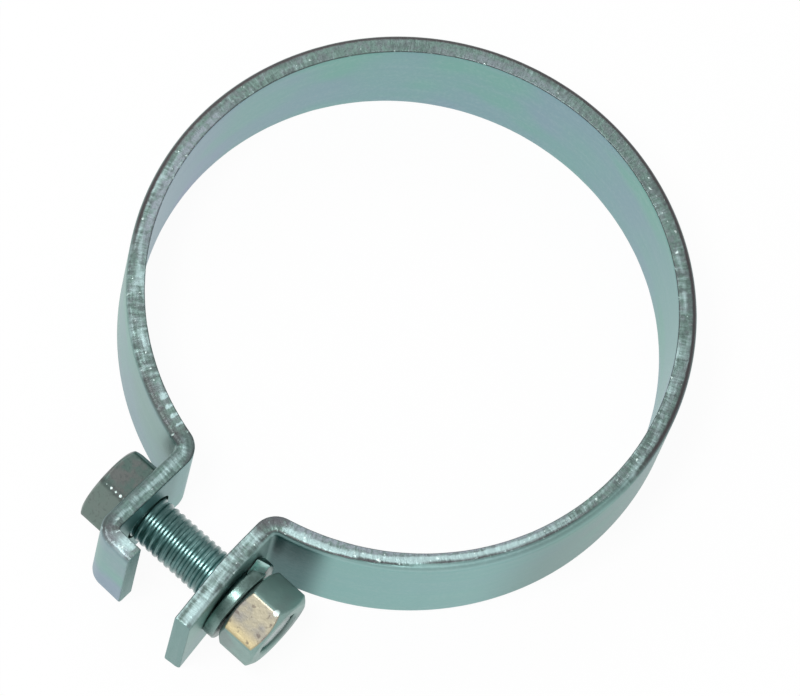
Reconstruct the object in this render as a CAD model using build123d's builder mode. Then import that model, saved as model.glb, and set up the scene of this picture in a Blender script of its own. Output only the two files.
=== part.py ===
# Exhaust clamp: a flat steel strip bent round a pipe, drawn together by a bolt through its two ears.
# The origin is on the pipe's axis, halfway up the band. The pipe runs along Z and the bolt along X,
# with its head at -X and its nut at +X. All sizes are in millimetres and degrees.
from build123d import *
import os
from math import cos, pi, radians, sin, sqrt, tan

os.makedirs("parts", exist_ok=True)

# Strip, sheared from plate: the shear has rolled its outer long edges over
pipe_radius = 42.0
strip_thickness = 3.0
strip_width = 20.0
outer_edge_rounding = 0.9
inner_edge_bevel = 0.3

# Ears, with each gap measured from the middle plane to the ear's inner face at the bolt
bolt_past_ring = 7.45
ear_bend_radius = 1.0
head_ear_gap = 7.05
head_ear_lean = 1.5
nut_ear_gap = 7.42
nut_ear_root_lean = 0.0
nut_ear_tip_lean = 5.4
nut_ear_bow_radius = 60.0
nut_ear_past_bolt = 12.2
hole_clearance = 0.5

# Lip folded in at the end of the head-side ear
lip_past_bolt = 10.5
lip_length = 7.8
lip_bend_radius = 0.5

# Bolt
thread_diameter = 8.0
thread_pitch = 1.25
thread_depth_per_pitch = 0.6134
across_flats = 12.8
hex_corner_rounding = 0.8
head_height = 5.3
head_turn = 51.0
head_face_share = 0.95
bearing_step = 0.3
neck_bevel = 0.4
bolt_short_of_nut = 0.45

# Spring washer, one turn of square wire cut through and sprung apart
washer_clearance = 0.15
washer_width = 3.2
washer_thickness = 2.0
washer_rise = 0.85
washer_edge_bevel = 0.3
split_angle = 52.0
split_width = 2.0
split_slant = 30.0
uncut_ends_gap = 0.2

# Nut
nut_height = 6.8
nut_turn = 29.4
nut_face_share = 0.95
nut_running_clearance = 0.05
countersink_width = 0.3

# Turned blank of the head and the nut: its radius, and the slope of its coned ends from the end face
blank_per_across_flats = 0.6
corner_cut_angle = 30.0

# Play left where one piece bears on the next
seat_clearance = 0.02

ring_middle_radius = pipe_radius + strip_thickness / 2
ear_bend_middle = ear_bend_radius + strip_thickness / 2
lip_bend_middle = lip_bend_radius + strip_thickness / 2
flat_radius = across_flats / 2
corner_radius = across_flats / sqrt(3)
thread_radius = thread_diameter / 2
thread_depth = thread_depth_per_pitch * thread_pitch
bolt_y = -(pipe_radius + strip_thickness + bolt_past_ring)
blank_radius = blank_per_across_flats * across_flats
bolt_axis = Axis((0, bolt_y, 0), (1, 0, 0))


def ear_direction(side, lean):
    """Unit vector down an ear, away from the ring; side is -1 for the head's ear and 1 for the nut's."""
    return Vector(side * sin(radians(lean)), -cos(radians(lean)))


def ear_middle_at_bolt(side, gap, lean):
    """Middle of an ear's thickness, level with the bolt."""
    return Vector(side * (gap + strip_thickness / 2 / cos(radians(lean))), bolt_y)


def ear_root(at_bolt, direction):
    """Where an ear's middle line, followed back from the bolt, meets the ring's middle circle."""
    along = at_bolt.dot(direction)
    return at_bolt - direction * (along - sqrt(along**2 - at_bolt.length**2 + ring_middle_radius**2))


def outer_face_distance(at_bolt, lean, past_bolt):
    """Distance from the middle plane to an ear's outer face, so far past the bolt."""
    return abs(at_bolt.X) + strip_thickness / 2 / cos(radians(lean)) + past_bolt * tan(radians(lean))


def bolt_plane(x, turn=0.0):
    """Plane across the bolt at x, its first axis turned from +Y towards +Z."""
    first_axis = (0, cos(radians(turn)), sin(radians(turn)))
    return Plane(origin=(x, bolt_y, 0), x_dir=first_axis, z_dir=(1, 0, 0))


def add_hexagon(x, height, turn, low_face_radius, high_face_radius):
    """Hexagon from x upwards: what its prism and a turned blank with coned ends have in common."""
    slope = tan(radians(corner_cut_angle))
    with BuildSketch(bolt_plane(x, turn)) as flats:
        RegularPolygon(flat_radius, 6, major_radius=False)
        fillet(flats.vertices(), hex_corner_rounding)
    with BuildSketch(Plane.XY) as half_blank:
        with BuildLine():
            Polyline(
                (x, bolt_y),
                (x, bolt_y + low_face_radius),
                (x + (blank_radius - low_face_radius) * slope, bolt_y + blank_radius),
                (x + height - (blank_radius - high_face_radius) * slope, bolt_y + blank_radius),
                (x + height, bolt_y + high_face_radius),
                (x + height, bolt_y),
                close=True,
            )
        make_face()
    extrude(flats.sketch, amount=height)
    revolve(half_blank.sketch, axis=bolt_axis, mode=Mode.INTERSECT)


# Middle lines of the ears and the lip
head_ear_down = ear_direction(-1, head_ear_lean)
head_ear_middle = ear_middle_at_bolt(-1, head_ear_gap, head_ear_lean)
nut_ear_middle = ear_middle_at_bolt(1, nut_ear_gap, nut_ear_root_lean)
nut_ear_root = ear_root(nut_ear_middle, ear_direction(1, nut_ear_root_lean))
nut_ear_end = nut_ear_middle + ear_direction(1, nut_ear_tip_lean) * nut_ear_past_bolt
lip_corner = head_ear_middle + head_ear_down * (lip_past_bolt - strip_thickness / 2)
lip_end = lip_corner + head_ear_down.rotate(Axis.Z, 90) * (lip_length - strip_thickness / 2)

# Band: the strip's section carried along its bent middle line, from the lip to the nut's ear
with BuildPart() as clamp_band:
    with BuildLine() as middle_line:
        lip = Line(lip_end, lip_corner)
        head_ear = Line(lip @ 1, ear_root(head_ear_middle, head_ear_down))
        ring = ThreePointArc(head_ear @ 1, (0, ring_middle_radius), nut_ear_root)
        nut_ear = Polyline(ring @ 1, nut_ear_middle, nut_ear_end)
        for corner, radius in (
            (lip_corner, lip_bend_middle),
            (ring @ 0, ear_bend_middle),
            (ring @ 1, ear_bend_middle),
            (nut_ear_middle, nut_ear_bow_radius),
        ):
            fillet(middle_line.vertices().sort_by_distance(corner)[0], radius)
    path = middle_line.wire()
    with BuildSketch(Plane(origin=path @ 0, x_dir=(0, 0, 1), z_dir=path % 0)) as section:
        Rectangle(strip_width, strip_thickness)
        fillet(section.vertices().group_by(Axis.Y)[0], outer_edge_rounding)
        chamfer(section.vertices().group_by(Axis.Y)[-1], inner_edge_bevel)
    sweep(path=path)
    with BuildSketch(bolt_plane(0)):
        Circle(thread_radius + hole_clearance)
    extrude(amount=ring_middle_radius, both=True, mode=Mode.SUBTRACT)
clamp_band.part.label = "clamp_band"

# The head and the washer stand square to the bolt, so each bears where its ear leans furthest out,
# and the washer's wire has climbed part of its rise on the way from its cut to that place
bearing_radius = flat_radius * head_face_share
head_seat = -outer_face_distance(head_ear_middle, head_ear_lean, bearing_radius) - seat_clearance
washer_middle_radius = thread_radius + washer_clearance + washer_width / 2
washer_outer_radius = washer_middle_radius + washer_width / 2
washer_touch = outer_face_distance(nut_ear_middle, nut_ear_tip_lean, washer_outer_radius) + seat_clearance
rise_at_touch = washer_rise * (split_angle + 180) / 360
washer_seat = washer_touch - rise_at_touch
nut_seat = washer_seat + washer_thickness + washer_rise + seat_clearance
nut_end = nut_seat + nut_height

with BuildPart() as bolt:
    hexagon_height = head_height - bearing_step
    add_hexagon(head_seat - head_height, hexagon_height, head_turn, bearing_radius, corner_radius)
    with BuildSketch(bolt_plane(head_seat)):
        Circle(bearing_radius)
    extrude(amount=-bearing_step)
    with BuildSketch(bolt_plane(head_seat)):
        Circle(thread_radius)
    extrude(amount=nut_end - bolt_short_of_nut - head_seat)
    chamfer(bolt.edges().sort_by(Axis.X)[-1], thread_depth)
    under_head = bolt.edges().filter_by_position(Axis.X, head_seat, head_seat)
    chamfer(under_head.sort_by(SortBy.RADIUS)[0], neck_bevel)
bolt.part.label = "bolt"

with BuildPart() as spring_washer:
    uncut_turn = 1 - uncut_ends_gap / (2 * pi * washer_middle_radius)
    start_angle = split_angle - (1 - uncut_turn) * 180
    with BuildLine(mode=Mode.PRIVATE) as coil:
        Helix(washer_rise, washer_rise * uncut_turn, washer_middle_radius, lefthand=True)
    turn_plane = bolt_plane(washer_seat + washer_thickness / 2, start_angle)
    wire_path = turn_plane.from_local_coords(coil.line.edge())
    with BuildSketch(Plane(origin=wire_path @ 0, x_dir=turn_plane.x_dir, z_dir=wire_path % 0)) as wire:
        Rectangle(washer_width, washer_thickness)
        chamfer(wire.vertices(), washer_edge_bevel)
    sweep(path=wire_path, is_frenet=True)

    # The slanted cut, made along the radius through the wire's ends
    split_middle = bolt_plane(washer_seat + (washer_thickness + washer_rise) / 2, split_angle)
    outwards = split_middle.x_dir
    with BuildSketch(Plane(split_middle.origin, x_dir=(1, 0, 0), z_dir=outwards)):
        Rectangle(2 * washer_thickness + washer_rise, split_width, rotation=split_slant)
    extrude(amount=washer_outer_radius + washer_clearance, mode=Mode.SUBTRACT)
spring_washer.part.label = "spring_washer"

with BuildPart() as nut:
    face_radius = flat_radius * nut_face_share
    add_hexagon(nut_seat, nut_height, nut_turn, face_radius, face_radius)
    with BuildSketch(bolt_plane(nut_seat)):
        Circle(thread_radius + nut_running_clearance)
    extrude(amount=nut_height, mode=Mode.SUBTRACT)
    chamfer(nut.edges().filter_by(GeomType.CIRCLE).group_by(SortBy.RADIUS)[0], countersink_width)
nut.part.label = "nut"

for piece in (clamp_band, bolt, spring_washer, nut):
    export_step(piece.part, f"parts/{piece.part.label}.step")
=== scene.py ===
"""Exhaust clamp: a zinc-plated strip bent round a pipe, with its bolt, spring washer and nut.

The pipe runs along Z through the origin, which is halfway up the band. The bolt runs along X, with
its head at -X and its nut at +X, and the ears stand out towards -Y. All lengths are in metres.
"""

import bpy
import numpy as np
from mathutils import Matrix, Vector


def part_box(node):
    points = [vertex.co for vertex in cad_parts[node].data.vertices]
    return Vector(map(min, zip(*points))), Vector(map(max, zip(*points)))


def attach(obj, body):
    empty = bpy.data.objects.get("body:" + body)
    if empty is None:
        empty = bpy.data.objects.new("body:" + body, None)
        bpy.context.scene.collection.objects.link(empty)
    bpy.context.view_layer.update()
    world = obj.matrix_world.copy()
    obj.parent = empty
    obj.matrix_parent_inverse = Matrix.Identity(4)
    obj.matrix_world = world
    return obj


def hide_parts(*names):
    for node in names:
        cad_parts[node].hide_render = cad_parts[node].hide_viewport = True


bl_info = {
    "name": "Exhaust Clamp",
    "version": (1, 0, 0),
    "blender": (4, 5, 0),
    "location": "View3D > Sidebar > Exhaust Clamp",
    "description": "Builds a zinc-plated exhaust clamp with its bolt, spring washer and nut",
    "category": "Object",
}

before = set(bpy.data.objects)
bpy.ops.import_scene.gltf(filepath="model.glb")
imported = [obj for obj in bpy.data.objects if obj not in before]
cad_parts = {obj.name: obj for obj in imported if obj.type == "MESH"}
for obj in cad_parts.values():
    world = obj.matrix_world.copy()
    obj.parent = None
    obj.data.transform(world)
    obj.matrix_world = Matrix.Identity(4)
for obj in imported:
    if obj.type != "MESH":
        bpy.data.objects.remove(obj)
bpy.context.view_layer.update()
FLOOR_HEIGHT = min(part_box(node)[0].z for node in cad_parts)
BOLT_LOW, BOLT_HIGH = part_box("bolt")
WASHER_LOW, WASHER_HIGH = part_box("spring_washer")
NUT_LOW, NUT_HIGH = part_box("nut")

MM = 0.001
TURN = 2 * np.pi
SIXTH = TURN / 6

# The strip's faces are drawn in by this much, so that they stay inside the CAD's box
INSIDE_CAD = 0.015 * MM

# Dents along the strip's sheared edges, over the outer part of its half width
DENT_DEPTH = 0.05 * MM
DENTED_FROM = 0.93
BROAD_DENTS = {"seed": 4, "spacing": 3.1 * MM}
FINE_DENTS = {"seed": 9, "spacing": 1.2 * MM}

# Head of the bolt: the blend of cone and flats, the bearing step, and rows of the worn edges, each as
# (millimetres from the underside of the hexagon, millimetres in from the flat or the step's side)
CONE_BLEND = 0.35 * MM
HEAD_CONE_HEIGHT = 1.6 * MM
BEARING_STEP = 0.3 * MM
LOWER_EDGE = np.array([(0.10, 0.0), (0.05, 0.01), (0.02, 0.04), (0.0, 0.12)]) * MM
STEP_EDGE = np.array([(0.05, 0.0), (0.20, 0.0), (0.28, 0.03), (0.30, 0.10)]) * MM

# Thread: rows to each pitch, and the length over which its depth grows from nothing
ROWS_PER_PITCH = 14
THREAD_RUNOUT = 0.9 * MM
TIP_CHAMFER = 0.75 * MM

# Painted highlights: bright beads down the head's corner facing the camera, between two shares of the head's
# height
BEAD_SPACING = 0.95 * MM
BEADS_START, BEADS_END = 0.16, 0.93

# Nut: the part of its height that each coned end takes, its bore and the painted glint on one corner
CONE_SHARE = 2.0 / 6.8
BORE_CLEARANCE = 0.05 * MM
COUNTERSINK = 0.3 * MM
GLINT_FROM_END = 1.35 * MM
GLINT_RADIUS = 0.42 * MM

# Spring washer: the wire's edges, and the edges of its cut
WIRE_ROUNDING = 0.3 * MM
CUT_ROUNDING = 0.12 * MM
WASHER_ROWS = 260


def length(name, description, default):
    """A size in metres for a PropertyGroup."""
    return bpy.props.FloatProperty(
        name=name, description=description, default=default, unit="LENGTH", precision=5
    )


def angle(name, description, degrees):
    """An angle for a PropertyGroup, written in degrees."""
    return bpy.props.FloatProperty(
        name=name, description=description, default=float(np.radians(degrees)), unit="ROTATION"
    )


def colour(name, description, default):
    """A linear colour for a PropertyGroup."""
    return bpy.props.FloatVectorProperty(
        name=name, description=description, default=default, size=3, min=0.0, max=1.0, subtype="COLOR"
    )


class ClampSizes(bpy.types.PropertyGroup):
    """Sizes of the strip, its ears and its lip."""

    pipe_radius: length("Pipe radius", "Inner radius of the ring", 42.0 * MM)
    strip_width: length("Strip width", "Height of the band along the pipe", 20.0 * MM)
    strip_thickness: length("Strip thickness", "Thickness of the strip", 3.0 * MM)
    outer_rounding: length("Outer edge rounding", "Radius rolled onto the outer edges by the shear", 0.9 * MM)
    inner_rounding: length("Inner edge rounding", "Radius left on the inner edges", 0.3 * MM)
    end_rounding: length("End rounding", "Radius worn onto the strip's two ends", 0.2 * MM)
    bolt_distance: length("Bolt distance", "Distance from the pipe's axis to the bolt's axis", 52.45 * MM)
    head_ear_gap: length("Head ear gap", "Middle plane to the head ear's inner face, at the bolt", 7.05 * MM)
    head_ear_lean: angle("Head ear lean", "Lean of the head ear out of square with the bolt", 1.5)
    nut_ear_gap: length("Nut ear gap", "Middle plane to the nut ear's inner face, at the bolt", 7.42 * MM)
    nut_ear_lean: angle("Nut ear lean", "Lean of the nut ear's tip", 5.4)
    nut_ear_bow: length("Nut ear bow", "Radius of the bow in the nut ear", 60.0 * MM)
    nut_ear_past_bolt: length("Nut ear past bolt", "Length of the nut ear beyond the bolt", 12.2 * MM)
    ear_bend: length("Ear bend", "Inside radius of the bend between ring and ear", 1.0 * MM)
    lip_past_bolt: length("Lip past bolt", "Distance from the bolt to the lip's outer face", 10.5 * MM)
    lip_length: length("Lip length", "Length of the lip over its bend", 7.8 * MM)
    lip_bend: length("Lip bend", "Inside radius of the lip's bend", 0.5 * MM)
    hole_radius: length("Hole radius", "Radius of the bolt's holes in the ears", 4.5 * MM)


class FastenerSizes(bpy.types.PropertyGroup):
    """Sizes of the bolt, the spring washer and the nut."""

    thread_radius: length("Thread radius", "Outer radius of the thread", 4.0 * MM)
    thread_pitch: length("Thread pitch", "Advance of the thread in one turn", 1.25 * MM)
    thread_depth: length("Thread depth", "Depth of the thread's plated ridges", 0.21 * MM)
    flat_radius: length("Flat radius", "Bolt axis to a flat of the head or the nut", 6.4 * MM)
    corner_rounding: length("Corner rounding", "Radius on the corners of the head and the nut", 0.8 * MM)
    face_share: bpy.props.FloatProperty(
        name="Face share", description="Radius of the round end faces over the flats' distance", default=0.95
    )
    cone_slope: angle("Cone slope", "Slope of the coned ends, from the end face", 30.0)
    head_height: length("Head height", "Height of the bolt's head", 5.3 * MM)
    head_turn: angle("Head turn", "Turn of the head about the bolt", 51.0)
    nut_turn: angle("Nut turn", "Turn of the nut about the bolt", 29.4)
    washer_inner: length("Washer inner radius", "Inner radius of the spring washer", 4.15 * MM)
    washer_width: length("Washer width", "Width of the washer's wire", 3.2 * MM)
    washer_thickness: length("Washer thickness", "Thickness of the washer's wire", 2.0 * MM)
    split_angle: angle("Split angle", "Place of the washer's cut, from the ring's side", 52.0)
    split_width: length("Split width", "Gap between the washer's cut ends", 2.0 * MM)
    split_slant: angle("Split slant", "Slant of the washer's cut", 30.0)


class ClampColours(bpy.types.PropertyGroup):
    """Colours of the zinc plating."""

    strip: colour("Strip", "Inner faces of the strip", (0.190, 0.380, 0.375))
    strip_outside: colour("Strip outside", "Outer faces of the strip", (0.205, 0.355, 0.330))
    strip_lilac: colour("Strip lilac", "Faint lilac clouds on the strip", (0.24, 0.32, 0.44))
    strip_green: colour("Strip green", "Faint green clouds on the strip", (0.155, 0.41, 0.33))
    strip_greener: colour("Strip fresh", "Greener teal by the nut's ear", (0.195, 0.425, 0.405))
    strip_grain: colour("Strip grain", "Fine bright grain on the strip's faces", (0.50, 0.62, 0.62))
    # painted shade by the nut ear's bend, on the ring's right and inside the head ear
    strip_shade: colour("Strip shade", "Painted shade by the bends and in the head ear", (0.022, 0.120, 0.120))
    # painted light on the rolled-over faces, which look darker from their rounding
    strip_rolled: colour("Strip rolled", "Faces where they roll over into the edge", (0.44, 0.57, 0.56))
    rim: colour("Rim", "Dark parts of the strip's sheared edges", (0.078, 0.112, 0.106))
    rim_green: colour("Green rim", "Greener ground of the sheared edges", (0.180, 0.275, 0.245))
    rim_grey: colour("Grey rim", "Greyer ground of the sheared edges", (0.190, 0.240, 0.240))
    rim_scratch: colour("Rim scratches", "Cross scratches on the sheared edges", (0.36, 0.52, 0.50))
    rim_bright: colour("Bright rim", "Painted highlights and rubbed places on the sheared edges", (0.44, 0.60, 0.60))
    # painted highlights together with rubbed wear on the edges
    rim_lilac: colour("Lilac rim", "Inner side of the edge by the nut's ear", (0.29, 0.335, 0.375))
    # brown lines, and painted shade inside the head ear's bend
    rim_corner: colour("Rim corner", "Brown lines and corners of the edges", (0.075, 0.060, 0.068))
    rim_dim: colour("Dim rim", "Edge of the head's ear", (0.075, 0.140, 0.130))
    end_dark: colour("Dark end", "Darker bands on the strip's ends", (0.20, 0.34, 0.32))
    end_light: colour("Light end", "Paler bands on the strip's ends", (0.25, 0.38, 0.37))
    # painted shade on the rolled outer corners of the edges
    shoulder: colour("Shoulder", "Rolled outer corners of the sheared edges", (0.083, 0.077, 0.080))
    # bright specks, and painted highlights for the head's beads and the nut's glint
    speck_and_glint: colour("Speck", "Bright specks, and the painted highlights of the head's beads and the nut's glint", (0.80, 0.97, 0.94))
    thread: colour("Thread", "Shank of the bolt", (0.050, 0.138, 0.132))
    thread_light: colour("Light thread", "Paler plating on the shank", (0.16, 0.325, 0.315))
    head: colour("Head", "Head of the bolt", (0.108, 0.166, 0.148))
    head_tint: colour("Head tint", "Purplish tint on the head", (0.150, 0.165, 0.158))
    # painted light: paler copies of the head's colours for one flat
    head_pale: colour("Pale head", "Paler flat of the head", (0.165, 0.235, 0.205))
    head_pale_tint: colour("Pale head tint", "Tint on the head's paler flat", (0.205, 0.240, 0.225))
    head_dark: colour("Worn head", "Dark grain and the darker corner of the head", (0.07, 0.085, 0.08))
    washer: colour("Washer", "Wire of the spring washer", (0.10, 0.16, 0.145))
    washer_light: colour("Light washer", "Paler plating on the washer", (0.26, 0.39, 0.36))
    washer_cut_and_highlight: colour("Washer cut", "Cut ends of the spring washer, with a painted highlight", (0.66, 0.96, 0.91))
    nut: colour("Nut", "Plain flats of the nut", (0.235, 0.365, 0.335))
    nut_light: colour("Light nut", "Paler mottles on the nut", (0.30, 0.44, 0.41))
    nut_cloud: colour("Nut cloud", "Grey clouds on the nut", (0.22, 0.25, 0.25))
    gold: colour("Gold", "Golden tint on the nut", (0.42, 0.385, 0.285))
    gold_grey: colour("Greyed gold", "Duller patches of the golden tint", (0.28, 0.27, 0.25))
    gold_deep: colour("Deep gold", "Golden tint at the flat's lower corner", (0.62, 0.52, 0.29))
    gold_spot: colour("Gold spots", "Brown spots in the golden tint", (0.15, 0.125, 0.105))


def unit(vector):
    """The vector at length one."""
    return vector / np.linalg.norm(vector)


def ramp(value, start, end):
    """0 at the start, 1 at the end and a straight line between them. The start may lie above the end."""
    return np.clip((value - start) / (end - start), 0.0, 1.0)


def hump(distance, start, end, fade):
    """1 between start and end, falling by a cosine to 0 over the fade on each side."""
    outside = np.maximum(np.maximum(start - distance, distance - end), 0.0)
    return (1 + np.cos(np.pi * np.minimum(outside / fade, 1.0))) / 2


def spot(from_middle, reach, spread):
    """1 near the middle, falling straight to 0 at the spread times the reach from it."""
    return np.clip(spread - from_middle / reach, 0.0, 1.0)


def signed_turn(turn):
    """The same angle between minus and plus half a turn."""
    return (turn + np.pi) % TURN - np.pi


def smaller(first, second, blend):
    """The smaller of two distances, rounded over where they cross by a quadratic of the given width."""
    meet = np.maximum(blend - np.abs(first - second), 0.0) / blend
    return np.minimum(first, second) - meet**2 * blend / 4


def smooth_noise(positions, seed, spacing):
    """Smooth random heights from -1 to 1 at the positions: cosine steps between seeded random knots."""
    positions = positions / spacing
    low = np.floor(positions.min()).astype(int)
    knots = np.random.default_rng(seed).uniform(-1.0, 1.0, int(np.ceil(positions.max())) - low + 2)
    cell = np.floor(positions).astype(int) - low
    share = (1 - np.cos(np.pi * (positions - np.floor(positions)))) / 2
    return knots[cell] * (1 - share) + knots[cell + 1] * share


def carry(segments, start, heading, step, arc_step):
    """A plane curve from runs of (length, turn), turn in radians to the left: on each run the heading
    grows evenly, so a point is the run's start plus its chord. Returns points, headings and distances."""
    points, headings, distances = [], [], []
    here, travelled = np.array(start, float), 0.0
    for run, turn in segments:
        count = max(int(np.ceil(max(run / step, abs(turn) / arc_step))), 1)
        share = np.linspace(0.0, 1.0, count, endpoint=False)
        half = turn * share / 2
        chord = run * share * np.sinc(half / np.pi)
        points.append(here + np.stack([chord * np.cos(heading + half), chord * np.sin(heading + half)], 1))
        headings.append(heading + turn * share)
        distances.append(travelled + run * share)
        chord = run * np.sinc(turn / 2 / np.pi)
        here = here + chord * np.array([np.cos(heading + turn / 2), np.sin(heading + turn / 2)])
        heading += turn
        travelled += run
    points.append(here[None])
    headings.append([heading])
    distances.append([travelled])
    return np.concatenate(points), np.concatenate(headings), np.concatenate(distances)


def rounded_section(width, thickness, outer, inner, corner_steps, face_steps):
    """Rounded rectangle as (across, outwards) points with unit normals: each corner is an arc about a
    centre set in by its radius, and the long faces are divided evenly between the arcs."""
    points, normals = [], []
    corners = (
        (width / 2, thickness / 2, outer, 0.0),
        (-width / 2, thickness / 2, outer, np.pi / 2),
        (-width / 2, -thickness / 2, inner, np.pi),
        (width / 2, -thickness / 2, inner, 1.5 * np.pi),
    )
    centres = [
        np.array([across - np.sign(across) * radius, outwards - np.sign(outwards) * radius])
        for across, outwards, radius, _ in corners
    ]
    for i, (_, _, radius, first) in enumerate(corners):
        sweep = first + np.linspace(0.0, np.pi / 2, corner_steps)
        direction = np.stack([np.cos(sweep), np.sin(sweep)], 1)
        points.append(centres[i] + radius * direction)
        normals.append(direction)
        following = (i + 1) % 4
        begin, end = points[-1][-1], centres[following] + corners[following][2] * direction[-1]
        steps = face_steps if i % 2 == 0 else max(face_steps // 6, 3)
        share = np.linspace(0.0, 1.0, steps + 1)[1:-1, None]
        points.append(begin + (end - begin) * share)
        normals.append(np.repeat(direction[-1:], len(share), 0))
    return np.concatenate(points), np.concatenate(normals)


def end_rows(inner_rows, last_row, rounding, steps, drawn_in=0.0):
    """Rows of a swept piece with two rounded ends: the inner rows, and on each side the end's row over and
    over, in steps round a quarter circle. Returns the rows, how far the section shrinks on each, and how
    far each is pushed along the path, which includes how far the ends are drawn in."""
    quarter = np.linspace(0.0, np.pi / 2, steps)
    shrink = rounding * (1 - np.sin(quarter))
    push = rounding * (1 - np.cos(quarter)) + drawn_in
    level = np.zeros(len(inner_rows))
    rows = np.concatenate([np.zeros(steps, int), inner_rows, np.full(steps, last_row)])
    return rows, np.concatenate([shrink, level, shrink[::-1]]), np.concatenate([push, level, -push[::-1]])


def closed_mesh(name, grid, values=None, ends="capped", sharp=35.0):
    """Mesh of a grid of points whose columns run round and whose rows run along: quads join each point
    to its neighbours, and each end is closed by a fan to its middle, or the rows join up in a loop.
    The faces are turned outwards by the sign of the enclosed volume."""
    rows, columns = grid.shape[:2]
    index = np.arange(rows * columns).reshape(rows, columns)
    across = np.roll(index, -1, 1)
    if ends == "looped":
        near, far, near_across, far_across = index, np.roll(index, -1, 0), across, np.roll(across, -1, 0)
    else:
        near, far, near_across, far_across = index[:-1], index[1:], across[:-1], across[1:]
    quads = np.stack([near, near_across, far_across, far], -1).reshape(-1, 4)
    vertices = grid.reshape(-1, 3)
    triangles = np.empty((0, 3), int)
    if ends == "capped":
        first, last = len(vertices), len(vertices) + 1
        vertices = np.concatenate([vertices, grid[:1].mean(1), grid[-1:].mean(1)])
        start_fan = np.stack([across[0], index[0], np.full(columns, first)], 1)
        end_fan = np.stack([index[-1], across[-1], np.full(columns, last)], 1)
        triangles = np.concatenate([start_fan, end_fan])
    corner = vertices[np.concatenate([quads[:, :3], quads[:, [0, 2, 3]], triangles])]
    volume = np.einsum("ij,ij->", corner[:, 0], np.cross(corner[:, 1], corner[:, 2]))
    if volume < 0:
        quads, triangles = quads[:, ::-1], triangles[:, ::-1]
    mesh = bpy.data.meshes.new(name)
    mesh.from_pydata(vertices.tolist(), [], quads.tolist() + triangles.tolist())
    for attribute, field in (values or {}).items():
        field = np.broadcast_to(field, (rows, columns))
        flat = field.reshape(-1)
        if ends == "capped":
            flat = np.concatenate([flat, field[:1].mean(1), field[-1:].mean(1)])
        mesh.attributes.new(attribute, "FLOAT", "POINT").data.foreach_set("value", flat.astype(np.float32))
    mesh.polygons.foreach_set("use_smooth", np.ones(len(mesh.polygons), bool))
    mesh.set_sharp_from_angle(angle=np.radians(sharp))
    mesh.update()
    piece = bpy.data.objects.new(name, mesh)
    bpy.context.scene.collection.objects.link(piece)
    return piece


def strip_path(sizes):
    """Runs of the strip's middle line, from the lip's end round the ring to the nut ear's end, as
    (length, left turn), with its start and heading. Each bend is an arc that touches its neighbours."""
    half = sizes.strip_thickness / 2
    ring = sizes.pipe_radius + half
    bend, lip_bend = sizes.ear_bend + half, sizes.lip_bend + half
    lean = sizes.head_ear_lean
    down = np.array([-np.sin(lean), -np.cos(lean)])
    head_middle = np.array([-(sizes.head_ear_gap + half / np.cos(lean)), -sizes.bolt_distance])
    nut_middle = np.array([sizes.nut_ear_gap + half, -sizes.bolt_distance])
    inwards = np.array([np.cos(lean), -np.sin(lean)])
    lip_corner = head_middle + down * (sizes.lip_past_bolt - half)
    lip_end = lip_corner + inwards * (sizes.lip_length - half)

    def bend_at_ring(on_ear, ear_down, outwards):
        """Centre of the bend: one bend radius outside the ear's line and outside the ring's circle."""
        foot = on_ear + outwards * bend
        along = foot @ ear_down
        return foot - ear_down * (along - np.sqrt(along**2 - foot @ foot + (ring + bend) ** 2))

    head_bend = bend_at_ring(head_middle, down, -inwards)
    nut_bend = bend_at_ring(nut_middle, np.array([0.0, -1.0]), np.array([1.0, 0.0]))
    bow_tangent = sizes.nut_ear_bow * np.tan(sizes.nut_ear_lean / 2)

    up = np.arctan2(-down[1], -down[0])
    head_on_ring = np.arctan2(head_bend[1], head_bend[0])
    nut_on_ring = np.arctan2(nut_bend[1], nut_bend[0])
    head_turn = (head_on_ring - np.pi / 2) % TURN - up
    ring_turn = -((head_on_ring - nut_on_ring) % TURN)
    nut_turn = -nut_on_ring % TURN
    head_run = np.linalg.norm(head_bend + inwards * bend - lip_corner) - lip_bend
    nut_run = nut_bend[1] + sizes.bolt_distance - bow_tangent
    runs = [
        (sizes.lip_length - half - lip_bend, 0.0),
        (lip_bend * np.pi / 2, -np.pi / 2),
        (head_run, 0.0),
        (bend * head_turn, head_turn),
        (ring * abs(ring_turn), ring_turn),
        (bend * nut_turn, nut_turn),
        (nut_run, 0.0),
        (sizes.nut_ear_bow * sizes.nut_ear_lean, sizes.nut_ear_lean),
        (sizes.nut_ear_past_bolt - bow_tangent, 0.0),
    ]
    return runs, lip_end, np.arctan2(-inwards[1], -inwards[0])


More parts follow.
